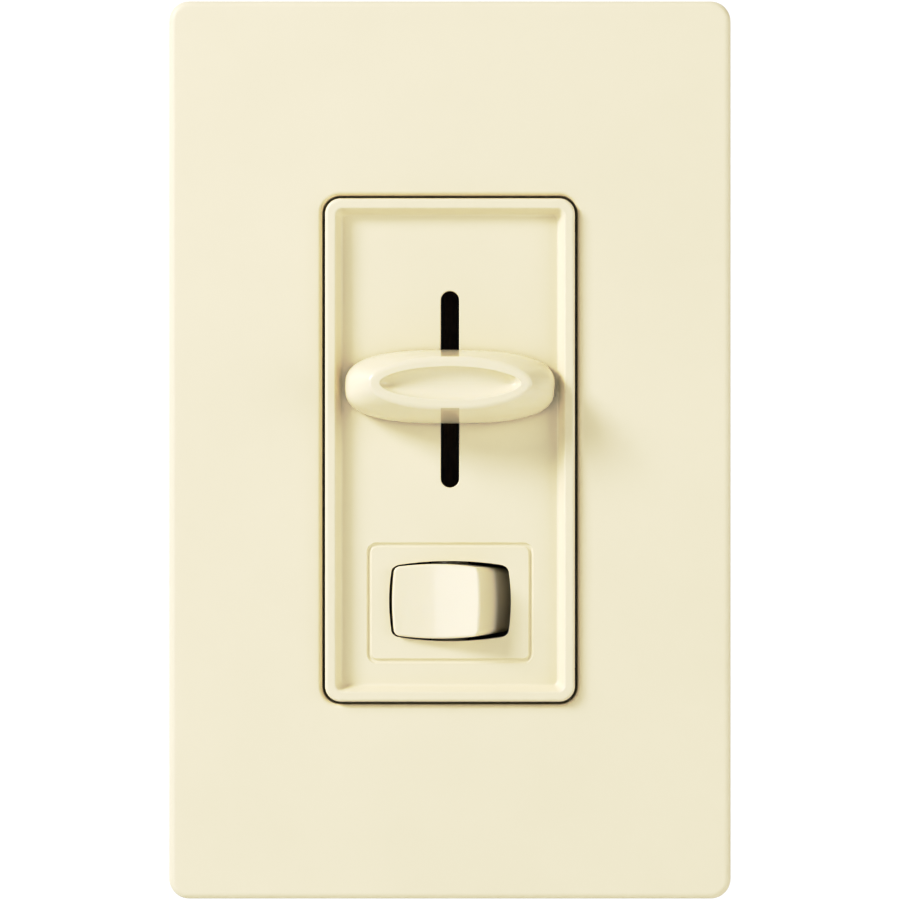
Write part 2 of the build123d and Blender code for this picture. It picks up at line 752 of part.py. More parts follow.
# stampings that join a fixed contact to its terminal
with BuildPart() as traveller_strips:
    for side in (-1, 1):
        run = sorted((side * 3.9, side * plate_high))
        riser = sorted((side * 10.4, side * plate_high))
        plate = sorted((side * plate_low, side * plate_high))
        block(run, (strip_front, strip_back), (rocker_z - 2, rocker_z + 2))
        block(riser, (strip_front, strip_back), (rocker_z + 1.9, traveller_z + 4.4))
        block(plate, (strip_front, 18.2), (traveller_z - 4.4, traveller_z + 4.4))
        with Locations(Plane.YZ.offset(side * 13) * Pos(terminal_y, traveller_z)):
            Hole(screw_radius + 0.05)
traveller_strips.part.label = "traveller_strips"
export_step(traveller_strips.part, "parts/traveller_strips.step")

with BuildPart() as common_plate:
    block((plate_low, plate_high), (10.75, 18.2), (common_z - 4.4, common_z + 4.4))
    block((11.2, plate_low + 0.1), (10.75, 11.45), (common_z - 1.5, common_z + 1.5))
    with Locations(Plane.YZ.offset(13) * Pos(terminal_y, common_z)):
        Hole(screw_radius + 0.05)
common_plate.part.label = "common_plate"
export_step(common_plate.part, "parts/common_plate.step")

# grooved block that carries the arm's bead, with its strip to the circuit board
with BuildPart() as contact_cradle:
    block((-1.6, 1.6), (seesaw_y + 0.2, strip_front + 0.1), (rocker_z - 2.5, rocker_z + 2.5))
    block((-2, 2), (strip_front, strip_back), (rocker_z - 2.5, -9.8))
    block((-2, 2), (board_back + 0.1, strip_front + 0.1), (-10.5, -9.8))
    with BuildSketch(level(rocker_z - 3)):
        with Locations((0, seesaw_y)):
            Circle(0.56)
    extrude(amount=6, mode=Mode.SUBTRACT)
contact_cradle.part.label = "contact_cradle"
export_step(contact_cradle.part, "parts/contact_cradle.step")

with BuildPart() as switch_base:
    block((-9.6, 9.6), (strip_back + 0.05, 16.0), (-26.4, -13.8))
    fillet(switch_base.edges().filter_by(Axis.Y), 1.0)
    for side in (-1, 1):
        foot = sorted((side * 7.0, side * 9.6))
        block(foot, (15.9, housing_depth - housing_floor - 0.05), (-23, -17))
        # side lips that locate the strips
        for z in (rocker_z - 2.9, rocker_z + 2.2):
            lip = sorted((side * 2.6, side * 9.6))
            block(lip, (strip_front - 0.1, strip_back + 0.1), (z, z + 0.7))
switch_base.part.label = "switch_base"
export_step(switch_base.part, "parts/switch_base.step")

cover_front = 6.0
cover_wall = 0.8
cover_half_width = 9.6
cover_half_height = 6.3
strip_room = (strip_front - 0.2, strip_back + 0.1)

# shell over the contacts, with a window for the rocker's tail
with BuildPart() as switch_cover:
    cover_x = (-cover_half_width, cover_half_width)
    block(cover_x, (cover_front, strip_back), (rocker_z - cover_half_height, rocker_z + cover_half_height))
    fillet(switch_cover.edges().filter_by(Axis.Y), 1.0)
    inner_x = cover_half_width - cover_wall
    inner_z = cover_half_height - cover_wall
    inner_y = (cover_front + cover_wall, strip_back + 0.1)
    block((-inner_x, inner_x), inner_y, (rocker_z - inner_z, rocker_z + inner_z), Mode.SUBTRACT)
    window_y = (cover_front - 0.1, cover_front + cover_wall + 0.1)
    block((-3.2, 3.2), window_y, (rocker_z - 1.9, rocker_z + 1.9), Mode.SUBTRACT)
    # room for the strips that run out at the sides and at the top
    block((-10, 10), strip_room, (rocker_z - 3.2, rocker_z + 3.2), Mode.SUBTRACT)
    block((-2.5, 2.5), strip_room, (rocker_z, rocker_z + cover_half_height + 0.1), Mode.SUBTRACT)
switch_cover.part.label = "switch_cover"
export_step(switch_cover.part, "parts/switch_cover.step")

# ---------------------------------------------------------------- rear housing and terminals

bays = ((1, common_z), (1, traveller_z), (-1, traveller_z))
bay_floor = housing_width / 2 - bay_depth
bay_inside = 14.4
head_depth = 2.4

with BuildPart() as rear_housing:
    with BuildSketch(front(-0.05)):
        RectangleRounded(housing_width, housing_height, 2.5)
    extrude(amount=0.05 - housing_depth)
    chamfer(rear_housing.faces().sort_by(Axis.Y)[-1].edges(), 1.2)
    with BuildSketch(front()):
        RectangleRounded(housing_width - 2 * housing_wall, housing_height - 2 * housing_wall, 1.2)
    extrude(amount=housing_floor - housing_depth, mode=Mode.SUBTRACT)
    # corner posts for the long screws
    with BuildSketch(front(-0.05)):
        with Locations(*post_places):
            Circle(3.6)
    extrude(amount=1.0 - housing_depth + housing_floor)
    with BuildSketch(front()):
        with Locations(*post_places):
            Circle(1.55)
    extrude(amount=-housing_depth - 1, mode=Mode.SUBTRACT)
    with BuildSketch(front(-housing_depth)):
        with Locations(*post_places):
            Circle(2.85)
    extrude(amount=head_depth, mode=Mode.SUBTRACT)
    # walled bays in the sides for the terminal screws
    for side, z in bays:
        wall_x = sorted((side * bay_inside, side * (housing_width / 2 - 0.4)))
        space_x = sorted((side * bay_floor, side * (housing_width / 2 + 1)))
        block(wall_x, (6.6, 21.4), (z - 6.9, z + 6.9))
        block(space_x, (8.0, 20.0), (z - 5.5, z + 5.5), Mode.SUBTRACT)
        with Locations(Plane.YZ.offset(side * (bay_floor - 0.5)) * Pos(terminal_y, z)):
            Hole(screw_radius + 0.2, depth=4)
    # blank sunk panel on the back
    with BuildSketch(front(-housing_depth)):
        RectangleRounded(25, 42, 1.5)
    extrude(amount=0.4, mode=Mode.SUBTRACT)
rear_housing.part.label = "rear_housing"
export_step(rear_housing.part, "parts/rear_housing.step")

head_height = 1.9
head_seat = housing_depth - head_depth + 0.05  # y of the underside of the screw heads

with BuildPart() as housing_screws:
    with BuildSketch(front(-head_seat)):
        with Locations(*post_places):
            Circle(2.6)
    extrude(amount=-head_height)
    fillet(housing_screws.faces().sort_by(Axis.Y)[-4:].edges(), 0.5)
    with BuildSketch(front(-head_seat - 0.05)):
        with Locations(*post_places):
            Circle(1.4)
    extrude(amount=housing_depth - head_depth + yoke_thickness)
    for turn in (0, 90):
        with BuildSketch(front(-head_seat - head_height)):
            with Locations(*post_places):
                Rectangle(3.2, 0.7, rotation=turn)
        extrude(amount=0.85, mode=Mode.SUBTRACT)
housing_screws.part.label = "housing_screws"
export_step(housing_screws.part, "parts/housing_screws.step")


def terminal_screw(side, z):
    """Binding-head screw lying along X, its head in a side bay and its thread in the terminal plate."""
    with BuildPart() as screw:
        head = bay_floor + 1.5
        with BuildSketch(Plane.YZ.offset(side * head)):
            with Locations((terminal_y, z)):
                Circle(3.3)
        extrude(amount=side * 2.0)
        fillet(screw.faces().sort_by(Axis.X)[-1 if side > 0 else 0].edges(), 0.45)
        with BuildSketch(Plane.YZ.offset(side * (head + 0.1))):
            with Locations((terminal_y, z)):
                Circle(screw_radius)
        extrude(amount=-side * 5.3)
        with BuildSketch(Plane.YZ.offset(side * (head + 2.0))):
            with Locations((terminal_y, z)):
                Rectangle(7.0, 0.9)
                Rectangle(0.9, 3.6)
        extrude(amount=-side * 0.9, mode=Mode.SUBTRACT)
    return screw.part


with BuildPart() as common_screw:
    add(terminal_screw(1, common_z))
common_screw.part.label = "common_screw"
export_step(common_screw.part, "parts/common_screw.step")

with BuildPart() as traveller_screws:
    add(terminal_screw(1, traveller_z))
    add(terminal_screw(-1, traveller_z))
traveller_screws.part.label = "traveller_screws"
export_step(traveller_screws.part, "parts/traveller_screws.step")

# square pressure plates between each screw head and the bay's floor
with BuildPart() as clamp_plates:
    for side, z in bays:
        plate_x = sorted((side * (bay_floor + 0.3), side * (bay_floor + 1.3)))
        block(plate_x, (terminal_y - 4, terminal_y + 4), (z - 4.2, z + 4.2))
        with Locations(Plane.YZ.offset(side * (bay_floor + 0.8)) * Pos(terminal_y, z)):
            Hole(screw_radius + 0.2)
clamp_plates.part.label = "clamp_plates"
export_step(clamp_plates.part, "parts/clamp_plates.step")

# ---------------------------------------------------------------- electronics

triac_x = triac_rivet[0]
lead_pitch = 2.54
choke_x = -2.4
choke_y = 14.2
choke_z = 18.0
core_radius = 7.5
core_thickness = 2.8

with BuildPart() as circuit_board:
    with BuildSketch(front(-board_front)):
        with Locations((0, 10.25)):
            RectangleRounded(27.2, 42.5, 0.8)
        with Locations((-post_x, post_z), (post_x, post_z)):
            Circle(4.1, mode=Mode.SUBTRACT)
        with Locations(*[(triac_x + step * lead_pitch, 8.85) for step in (-1, 0, 1)]):
            Circle(0.65, mode=Mode.SUBTRACT)
        with Locations((-2, case_low + 1.6), (2, case_low + 1.6), (0, case_high - 1.6)):
            Circle(0.5, mode=Mode.SUBTRACT)
    extrude(amount=board_front - board_back)
circuit_board.part.label = "circuit_board"
export_step(circuit_board.part, "parts/circuit_board.step")

with BuildPart() as pot_pins:
    with BuildSketch(front(-8.9)):
        with Locations((-2, case_low + 1.6), (2, case_low + 1.6), (0, case_high - 1.6)):
            Circle(0.4)
    extrude(amount=-1.7)
pot_pins.part.label = "pot_pins"
export_step(pot_pins.part, "parts/pot_pins.step")

with BuildPart() as triac_body:
    block((triac_x - 5.1, triac_x + 5.1), (0.4, 4.8), (11.5, 20.5))
    chamfer(triac_body.faces().sort_by(Axis.Y)[-1].edges(), 0.5)
triac_body.part.label = "triac_body"
export_step(triac_body.part, "parts/triac_body.step")

with BuildPart() as triac_tab:
    block((triac_x - 5.1, triac_x + 5.1), (0.4, 1.7), (20.52, 26.0))
    with Locations(front(-1.0) * Pos(*triac_rivet)):
        Hole(1.7)
triac_tab.part.label = "triac_tab"
export_step(triac_tab.part, "parts/triac_tab.step")

with BuildPart() as triac_leads:
    for step in (-1, 0, 1):
        x = triac_x + step * lead_pitch
        block((x - 0.4, x + 0.4), (2.65, 3.15), (8.6, 11.48))
        block((x - 0.4, x + 0.4), (2.65, 11.2), (8.6, 9.1))
triac_leads.part.label = "triac_leads"
export_step(triac_leads.part, "parts/triac_leads.step")

with BuildPart() as insulating_pad:
    with BuildSketch(front(-0.05)):
        with Locations((triac_x, 18.6)):
            RectangleRounded(12.0, 15.2, 1.0)
        with Locations(triac_rivet):
            Circle(1.5, mode=Mode.SUBTRACT)
    extrude(amount=-0.3)
insulating_pad.part.label = "insulating_pad"
export_step(insulating_pad.part, "parts/insulating_pad.step")

with BuildPart() as triac_rivet_pin:
    with BuildSketch(front(-1.75)):
        with Locations(triac_rivet):
            Circle(2.3)
    extrude(amount=-0.8)
    fillet(triac_rivet_pin.faces().sort_by(Axis.Y)[-1].edges(), 0.35)
    with BuildSketch(front(-1.8)):
        with Locations(triac_rivet):
            Circle(1.2)
    extrude(amount=1.8 + yoke_thickness - 0.05)
triac_rivet_pin.part.label = "triac_rivet"
export_step(triac_rivet_pin.part, "parts/triac_rivet.step")

with BuildPart() as choke_core:
    with Locations(Plane(origin=(choke_x, choke_y, choke_z), z_dir=(0, 1, 0))):
        Torus(core_radius, core_thickness)
choke_core.part.label = "choke_core"
export_step(choke_core.part, "parts/choke_core.step")

turns = 22
with BuildPart() as choke_winding:
    for turn in range(turns):
        angle = math.radians(25 + 310 * turn / (turns - 1))
        cos, sin = math.cos(angle), math.sin(angle)
        place = (choke_x + core_radius * sin, choke_y, choke_z - core_radius * cos)
        with Locations(Plane(origin=place, z_dir=(cos, 0, sin))):
            Torus(core_thickness + 0.4, 0.34)
choke_winding.part.label = "choke_winding"
export_step(choke_winding.part, "parts/choke_winding.step")

with BuildPart() as filter_capacitor:
    block((-8.5, 8.5), (board_back + 0.1, 19.0), (-9.2, -2.6))
    fillet(filter_capacitor.edges(), 0.6)
filter_capacitor.part.label = "filter_capacitor"
export_step(filter_capacitor.part, "parts/filter_capacitor.step")

with BuildPart() as timing_capacitor:
    block((-12.4, -5.4), (board_back + 0.1, 16.4), (-0.8, 2.6))
    fillet(timing_capacitor.edges(), 0.5)
timing_capacitor.part.label = "timing_capacitor"
export_step(timing_capacitor.part, "parts/timing_capacitor.step")

with BuildPart() as resistors:
    for z in (0.3, 3.3, 6.2):
        with Locations((3.6, board_back + 1.4, z)):
            Cylinder(1.05, 5.4, rotation=(0, 90, 0))
            Cylinder(0.28, 8.4, rotation=(0, 90, 0))
        for x in (-0.6, 7.8):
            block((x - 0.28, x + 0.28), (board_back + 0.05, board_back + 1.65), (z - 0.28, z + 0.28))
resistors.part.label = "resistors"
export_step(resistors.part, "parts/resistors.step")

with BuildPart() as trigger_diode:
    with Locations((11.3, board_back + 1.2, 3.3)):
        Cylinder(0.85, 2.6, rotation=(0, 90, 0))
        Cylinder(0.25, 4.6, rotation=(0, 90, 0))
    for x in (9.0, 13.2):
        block((x - 0.25, x + 0.25), (board_back + 0.05, board_back + 1.42), (3.05, 3.55))
trigger_diode.part.label = "trigger_diode"
export_step(trigger_diode.part, "parts/trigger_diode.step")

with BuildPart() as trim_potentiometer:
    block((8.6, 12.8), (board_back + 0.1, 13.8), (21.0, 26.0))
    with Locations((10.7, 14.2, 23.5)):
        Cylinder(1.6, 1.2, rotation=(90, 0, 0))
    block((9.3, 12.1), (14.3, 15.0), (23.25, 23.75), Mode.SUBTRACT)
trim_potentiometer.part.label = "trim_potentiometer"
export_step(trim_potentiometer.part, "parts/trim_potentiometer.step")
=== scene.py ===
import json
import math

import bmesh
import bpy
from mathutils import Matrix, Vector


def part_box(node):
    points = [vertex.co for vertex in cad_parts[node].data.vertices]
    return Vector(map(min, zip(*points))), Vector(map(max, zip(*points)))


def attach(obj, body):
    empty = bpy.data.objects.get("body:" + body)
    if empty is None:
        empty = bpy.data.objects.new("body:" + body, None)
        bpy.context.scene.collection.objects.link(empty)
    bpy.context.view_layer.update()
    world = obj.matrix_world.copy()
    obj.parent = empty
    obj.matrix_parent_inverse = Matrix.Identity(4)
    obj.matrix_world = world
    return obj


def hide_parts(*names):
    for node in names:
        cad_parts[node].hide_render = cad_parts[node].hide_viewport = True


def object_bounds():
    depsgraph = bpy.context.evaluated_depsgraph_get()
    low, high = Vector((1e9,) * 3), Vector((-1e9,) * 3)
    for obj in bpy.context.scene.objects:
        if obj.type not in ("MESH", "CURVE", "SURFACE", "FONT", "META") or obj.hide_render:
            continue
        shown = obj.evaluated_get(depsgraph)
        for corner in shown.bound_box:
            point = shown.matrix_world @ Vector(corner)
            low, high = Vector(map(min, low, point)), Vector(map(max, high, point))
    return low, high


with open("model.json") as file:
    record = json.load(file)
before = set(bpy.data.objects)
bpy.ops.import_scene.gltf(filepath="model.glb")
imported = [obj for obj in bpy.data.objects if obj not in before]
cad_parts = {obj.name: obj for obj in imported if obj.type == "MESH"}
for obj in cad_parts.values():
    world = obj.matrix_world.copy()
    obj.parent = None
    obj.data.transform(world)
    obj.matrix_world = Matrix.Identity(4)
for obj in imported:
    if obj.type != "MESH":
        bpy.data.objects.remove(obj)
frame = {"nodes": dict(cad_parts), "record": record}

# Slide dimmer with an on/off rocker: camera, stage, lights, materials and screw threads on its CAD frame.
# Metres. X is to the right, Z is up, the room is towards -Y and the wall surface is Y = 0.

CAD_LOW, CAD_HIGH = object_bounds()
MM = 0.001

scene = bpy.context.scene

# A photograph's response, between black and white: it lifts the middle tones and flattens towards white.
TONES = ((0.15, 0.145), (0.33, 0.34), (0.50, 0.60), (0.65, 0.76), (0.80, 0.87))
COMBINED_CURVE = 3  # it comes after the red, green and blue ones


def set_tones():
    view = scene.view_settings
    view.view_transform = "Standard"
    view.use_curve_mapping = True
    curve = view.curve_mapping.curves[COMBINED_CURVE]
    for position, value in TONES:
        curve.points.new(position, value)
    view.curve_mapping.update()


# ---------------------------------------------------------------- camera

PLATE_LOW, PLATE_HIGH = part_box("wallplate")
PLATE_MIDDLE = (PLATE_LOW + PLATE_HIGH) / 2
VIEW_MARGIN = 1.0015  # height of the view in plate heights
VIEW_HEIGHT = (PLATE_HIGH.z - PLATE_LOW.z) * VIEW_MARGIN
LENS = 200  # mm, as is the sensor
SENSOR = 36


def make_camera():
    """Camera square on to the plate, with a long lens, so that the plate fills the frame's height."""
    data = bpy.data.cameras.new("camera")
    data.lens = LENS
    data.sensor_width = SENSOR
    data.clip_start = 0.01
    data.clip_end = 20
    camera = bpy.data.objects.new("camera", data)
    scene.collection.objects.link(camera)
    distance = VIEW_HEIGHT * LENS / SENSOR
    camera.location = (PLATE_MIDDLE.x, PLATE_LOW.y - distance, PLATE_MIDDLE.z)
    camera.rotation_euler = (math.radians(90), 0, 0)
    scene.camera = camera


# ---------------------------------------------------------------- stage and light

FLOOR_DROP = 0.45
FLOOR_HALF = 3.0
AMBIENT_FRONT = 0.23  # brightness of the surroundings on the room's side
AMBIENT_BACK = 1.15  # and behind the object, where they are its backdrop
BACK_STARTS = 0.1  # Y part of the direction where they start to brighten
BACK_FULL = 0.8  # and where they are brightest


def make_world():
    """Plain white surroundings, brighter behind the object than in front of it."""
    world = bpy.data.worlds.new("studio")
    world.use_nodes = True
    nodes = world.node_tree.nodes
    links = world.node_tree.links
    background = nodes["Background"]
    background.inputs["Color"].default_value = (1, 1, 1, 1)
    direction = nodes.new("ShaderNodeTexCoord")
    parts = nodes.new("ShaderNodeSeparateXYZ")
    strength = nodes.new("ShaderNodeMapRange")
    strength.inputs["From Min"].default_value = BACK_STARTS
    strength.inputs["From Max"].default_value = BACK_FULL
    strength.inputs["To Min"].default_value = AMBIENT_FRONT
    strength.inputs["To Max"].default_value = AMBIENT_BACK
    links.new(direction.outputs["Generated"], parts.inputs["Vector"])
    links.new(parts.outputs["Y"], strength.inputs["Value"])
    links.new(strength.outputs["Result"], background.inputs["Strength"])
    scene.world = world


def make_floor():
    """Pale floor, well below the object because that hangs on a wall."""
    z = CAD_LOW.z - FLOOR_DROP
    half = FLOOR_HALF
    corners = [(-half, -half, z), (half, -half, z), (half, half, z), (-half, half, z)]
    mesh = bpy.data.meshes.new("floor")
    mesh.from_pydata(corners, [], [(0, 1, 2, 3)])
    material = bpy.data.materials.new("floor_pale")
    material.use_nodes = True
    shader = material.node_tree.nodes["Principled BSDF"]
    shader.inputs["Base Color"].default_value = (0.8, 0.8, 0.79, 1)
    shader.inputs["Roughness"].default_value = 0.9
    mesh.materials.append(material)
    floor = bpy.data.objects.new("floor", mesh)
    scene.collection.objects.link(floor)


def aim_area(name, azimuth, elevation, distance, width, height, power):
    """Area light aimed at the origin. In degrees: azimuth 0 is in front, positive to the viewer's right."""
    data = bpy.data.lights.new(name, "AREA")
    data.shape = "RECTANGLE"
    data.size = width
    data.size_y = height
    data.energy = power
    light = bpy.data.objects.new(name, data)
    scene.collection.objects.link(light)
    turn = math.radians(azimuth)
    rise = math.radians(elevation)
    towards = Vector((math.sin(turn) * math.cos(rise), -math.cos(turn) * math.cos(rise), math.sin(rise)))
    light.location = towards * distance
    light.rotation_euler = towards.to_track_quat("Z", "Y").to_euler()
    light.visible_camera = False


# ---------------------------------------------------------------- node helpers

EVEN = (1, 1, 1)
IN_MM = (1000, 1000, 1000)
MIX_UNDER, MIX_OVER, MIX_COLOUR = 6, 7, 2  # a Mix node's two colour inputs and its colour output


class Nodes:
    """Short way to build a node tree for one material."""

    def __init__(self, name):
        self.material = bpy.data.materials.new(name)
        self.material.use_nodes = True
        self.tree = self.material.node_tree
        self.shader = self.tree.nodes["Principled BSDF"]

    def add(self, kind, **values):
        node = self.tree.nodes.new("ShaderNode" + kind)
        for key, value in values.items():
            setattr(node, key, value)
        return node

    def link(self, source, output, target, socket):
        self.tree.links.new(source.outputs[output], target.inputs[socket])

    def set(self, values):
        for key, value in values.items():
            self.shader.inputs[key].default_value = value

    def place(self, stretch=EVEN):
        """Object coordinates in metres, stretched."""
        coordinates = self.add("TexCoord")
        mapping = self.add("Mapping")
        mapping.inputs["Scale"].default_value = stretch
        self.link(coordinates, "Object", mapping, "Vector")
        return mapping

    def axes(self, stretch=EVEN):
        """The same coordinates as separate X, Y and Z."""
        parts = self.add("SeparateXYZ")
        self.link(self.place(stretch), "Vector", parts, "Vector")
        return parts

    def noise(self, place, scale, detail, roughness=0.55):
        noise = self.add("TexNoise")
        noise.inputs["Scale"].default_value = scale
        noise.inputs["Detail"].default_value = detail
        noise.inputs["Roughness"].default_value = roughness
        self.link(place, "Vector", noise, "Vector")
        return noise

    def ramp(self, source, output, stops, constant=False):
        """Colour ramp through (position, colour) stops."""
        ramp = self.add("ValToRGB")
        if constant:
            ramp.color_ramp.interpolation = "CONSTANT"
        elements = ramp.color_ramp.elements
        while len(elements) < len(stops):
            elements.new(1.0)
        for element, (position, colour) in zip(elements, stops):
            element.position = position
            element.color = colour
        self.link(source, output, ramp, "Fac")
        return ramp

    def math(self, operation, first, second):
        """Arithmetic on two inputs, each a number or a (node, output) pair."""
        node = self.add("Math", operation=operation)
        for socket, value in enumerate((first, second)):
            if isinstance(value, tuple):
                self.link(*value, node, socket)
            else:
                node.inputs[socket].default_value = value
        return node

    def inside(self, source, output, low, high):
        """1 where a coordinate is between two limits, else 0."""
        above = self.math("GREATER_THAN", (source, output), low)
        below = self.math("LESS_THAN", (source, output), high)
        return self.math("MULTIPLY", (above, "Value"), (below, "Value"))

    def overpaint(self, mask, colour):
        """Lays a plain colour over the present base colour, where the mask is 1."""
        present = self.shader.inputs["Base Color"].links[0].from_node
        mix = self.add("Mix", data_type="RGBA")
        self.link(mask, "Value", mix, "Factor")
        self.link(present, "Color", mix, MIX_UNDER)
        mix.inputs[MIX_OVER].default_value = colour
        self.link(mix, MIX_COLOUR, self.shader, "Base Color")

    def bump(self, height, output, strength, distance):
        bump = self.add("Bump")
        bump.inputs["Strength"].default_value = strength
        bump.inputs["Distance"].default_value = distance
        self.link(height, output, bump, "Height")
        self.link(bump, "Normal", self.shader, "Normal")


def grey(value):
    return (value, value, value, 1)


def shade(colour, factor):
    return (colour[0] * factor, colour[1] * factor, colour[2] * factor, 1)


def moulded(name, colour, roughness, spread, grain, depth, drift=0.02, more=None):
    """Moulded plastic: slight drift of colour, uneven gloss, fine surface. Grain per metre, depth in mm."""
    n = Nodes(name)
    place = n.place()
    broad = n.noise(place, scale=45, detail=3)
    tint = n.ramp(broad, "Fac", ((0.35, shade(colour, 1 - drift)), (0.65, shade(colour, 1 + drift))))
    n.link(tint, "Color", n.shader, "Base Color")
    fine = n.noise(place, scale=grain, detail=3, roughness=0.6)
    gloss = n.ramp(fine, "Fac", ((0.35, grey(roughness - spread)), (0.65, grey(roughness + spread))))
    n.link(gloss, "Color", n.shader, "Roughness")
    n.bump(fine, "Fac", strength=0.6, distance=depth * MM)
    n.set(more or {})
    return n


def metal(name, colour, roughness, stretch, grain, depth, tarnish=0.85, more=None):
    """Bare or plated metal, with its grain stretched along the way that it was rolled, drawn or turned."""
    n = Nodes(name)
    stains = n.noise(n.place(), scale=160, detail=5, roughness=0.6)
    tint = n.ramp(stains, "Fac", ((0.3, shade(colour, tarnish)), (0.62, shade(colour, 1.0))))
    n.link(tint, "Color", n.shader, "Base Color")
    lines = n.noise(n.place(stretch), scale=grain, detail=6, roughness=0.65)
    gloss = n.ramp(lines, "Fac", ((0.3, grey(roughness - 0.1)), (0.7, grey(roughness + 0.12))))
    n.link(gloss, "Color", n.shader, "Roughness")
    n.bump(lines, "Fac", strength=0.5, distance=depth * MM)
    n.set({"Metallic": 1.0})
    n.set(more or {})
    return n


# ---------------------------------------------------------------- materials

IVORY = (0.800, 0.716, 0.508, 1)
IVORY_POLISHED = (0.805, 0.724, 0.520, 1)
# Painted shade: the knob's skirt is drawn in a darker ivory where the dark slot lies behind it
PAINTED_SLOT_SHADE = (0.60, 0.52, 0.34, 1)
SLOT_HALF_WIDTH = 1.22 * MM
SKIRT_BELOW = 2.0 * MM  # height of the skirt's painted shade, up from the knob's lower end
SKIRT_ABOVE = 1.0 * MM  # and down from its upper end
SOLDER_MASK = (0.02, 0.13, 0.05, 1)
LEAD_TIN = (0.72, 0.72, 0.70, 1)
ROTOR_WHITE = (0.75, 0.74, 0.68, 1)
ROTOR_BEHIND = 13.82 * MM  # Y past which the trimmer is its rotor and no longer its body
BAND_WIDTH = 0.055  # of the resistors' length


def control_ivory(name="control_ivory"):
    soft = {"Subsurface Weight": 0.15, "Subsurface Scale": 0.0008, "Subsurface Radius": (1.0, 0.75, 0.4)}
    return moulded(
        name, IVORY_POLISHED, roughness=0.15, spread=0.03, grain=700, depth=0.002, drift=0.008, more=soft
    )


def knob_ivory_painted_shade():
    """The knob's plastic, with painted shade on its thin skirt where the dark slot lies behind it."""
    n = control_ivory("knob_ivory_painted_shade")
    low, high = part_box("slider_knob")
    parts = n.axes()
    over_slot = n.inside(parts, "X", -SLOT_HALF_WIDTH, SLOT_HALF_WIDTH)
    lower = n.math("LESS_THAN", (parts, "Z"), low.z + SKIRT_BELOW)
    upper = n.math("GREATER_THAN", (parts, "Z"), high.z - SKIRT_ABOVE)
    skirt = n.math("ADD", (lower, "Value"), (upper, "Value"))
    # painted shade: the skirt's two ends over the slot are drawn darker
    mask = n.math("MULTIPLY", (over_slot, "Value"), (skirt, "Value"))
    n.overpaint(mask, PAINTED_SLOT_SHADE)
    return n


def board_green():
    """Solder mask over copper tracks, drawn as thin paler lines."""
    n = moulded("board_green", SOLDER_MASK, roughness=0.32, spread=0.05, grain=1800, depth=0.004)
    turn = n.add("Mapping")
    turn.inputs["Rotation"].default_value = (math.radians(90), 0, 0)
    n.link(n.place(), "Vector", turn, "Vector")
    tracks = n.add("TexBrick", offset=0.37)
    for socket, value in (("Scale", 100), ("Mortar Size", 0.035), ("Brick Width", 0.9), ("Row Height", 0.42)):
        tracks.inputs[socket].default_value = value
    tracks.inputs["Color1"].default_value = SOLDER_MASK
    tracks.inputs["Color2"].default_value = (0.02, 0.12, 0.045, 1)
    tracks.inputs["Mortar"].default_value = (0.06, 0.27, 0.09, 1)
    n.link(turn, "Vector", tracks, "Vector")
    n.link(tracks, "Color", n.shader, "Base Color")
    return n


def banded(name, slot_node, body, bands, body_from, body_to, roughness):
    """Wire-ended component along X: painted bands on its body, and bare tinned leads past the body's ends.

    A band's place is a share of the node's length, leads included. The body's ends are in mm.
    """
    n = moulded(name, body, roughness, spread=0.04, grain=1500, depth=0.004)
    parts = n.axes(IN_MM)
    along = n.add("MapRange")
    low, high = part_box(slot_node)
    along.inputs["From Min"].default_value = low.x / MM
    along.inputs["From Max"].default_value = high.x / MM
    n.link(parts, "X", along, "Value")
    colour = n.ramp(along, "Result", bands, constant=True)
    n.link(colour, "Color", n.shader, "Base Color")
    body_mask = n.inside(parts, "X", body_from, body_to)
    lead_mask = n.math("SUBTRACT", 1.0, (body_mask, "Value"))
    n.overpaint(lead_mask, LEAD_TIN)
    n.link(lead_mask, "Value", n.shader, "Metallic")
    return n


def resistor_tan():
    tan = (0.60, 0.45, 0.28, 1)
    brown = (0.12, 0.04, 0.02, 1)
    black = grey(0.01)
    red = (0.55, 0.03, 0.02, 1)
    gold = (0.55, 0.36, 0.08, 1)
    bands = [(0.0, tan)]
    for start, colour in ((0.26, brown), (0.37, black), (0.48, red), (0.66, gold)):
        bands += [(start, colour), (start + BAND_WIDTH, tan)]
    return banded("resistor_tan", "resistors", tan, bands, body_from=0.88, body_to=6.32, roughness=0.45)


def diode_blue():
    blue = (0.04, 0.12, 0.35, 1)
    bands = ((0.0, blue), (0.62, grey(0.01)), (0.70, blue))
    return banded("diode_blue", "trigger_diode", blue, bands, body_from=9.98, body_to=12.62, roughness=0.12)


def trimmer_blue():
    """Blue moulded body with a white rotor."""
    n = moulded("trimmer_blue", (0.03, 0.12, 0.45, 1), roughness=0.35, spread=0.05, grain=2200, depth=0.006)
    rotor = n.math("GREATER_THAN", (n.axes(), "Y"), ROTOR_BEHIND)
    n.overpaint(rotor, ROTOR_WHITE)
    return n


def phenolic():
    """Paper laminate: brown with darker stretched fibres."""
    n = moulded("phenolic", (0.25, 0.11, 0.04, 1), roughness=0.42, spread=0.06, grain=1600, depth=0.004)
    fibres = n.noise(n.place((1, 1, 0.15)), scale=1500, detail=5, roughness=0.7)
    tint = n.ramp(fibres, "Fac", ((0.35, (0.16, 0.065, 0.022, 1)), (0.65, (0.30, 0.14, 0.055, 1))))
    n.link(tint, "Color", n.shader, "Base Color")
    return n


